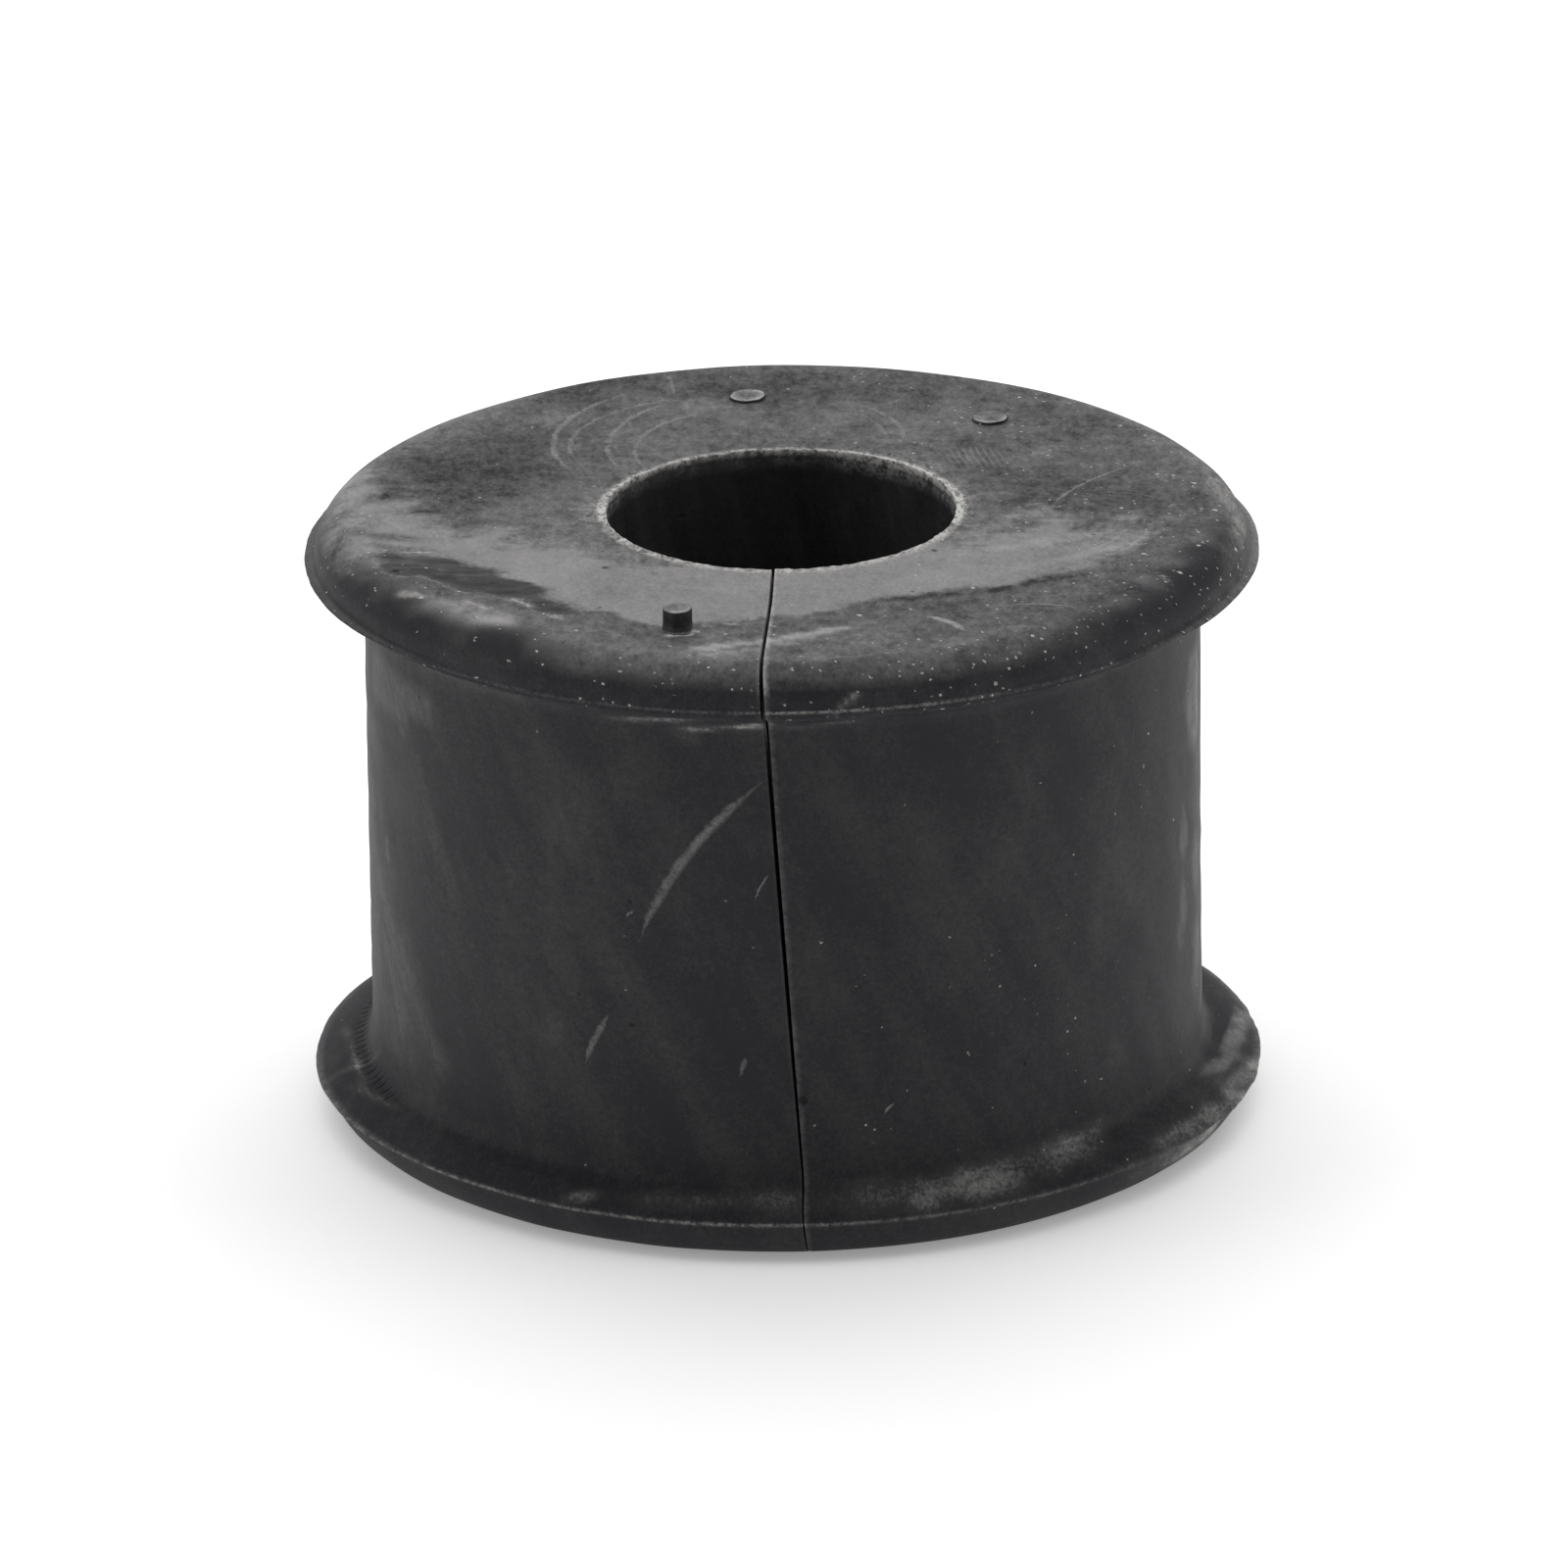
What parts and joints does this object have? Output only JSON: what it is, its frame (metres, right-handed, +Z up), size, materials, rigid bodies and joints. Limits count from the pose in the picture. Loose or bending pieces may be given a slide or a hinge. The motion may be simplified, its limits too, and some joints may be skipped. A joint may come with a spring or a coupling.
{
  "type": "sway bar bushing",
  "caption": "Round moulded rubber sleeve with a rounded flange at each end, a centre bore for a bar and a knife cut down one side to open it over the bar.",
  "frame": {"origin": "centre of the lower end face, on the bore's axis", "axes": "+Z up along the bore, towards the end face that carries the feed pips; -Y towards the knife cut; +X to the right of the cut"},
  "size_m": [0.06, 0.06, 0.0404],
  "materials": {
    "rubber": "matt moulded rubber with grey bloom, dust and rub marks"
  },
  "bodies": {
    "root": {"split_bushing": "rubber"}
  },
  "joints": []
}
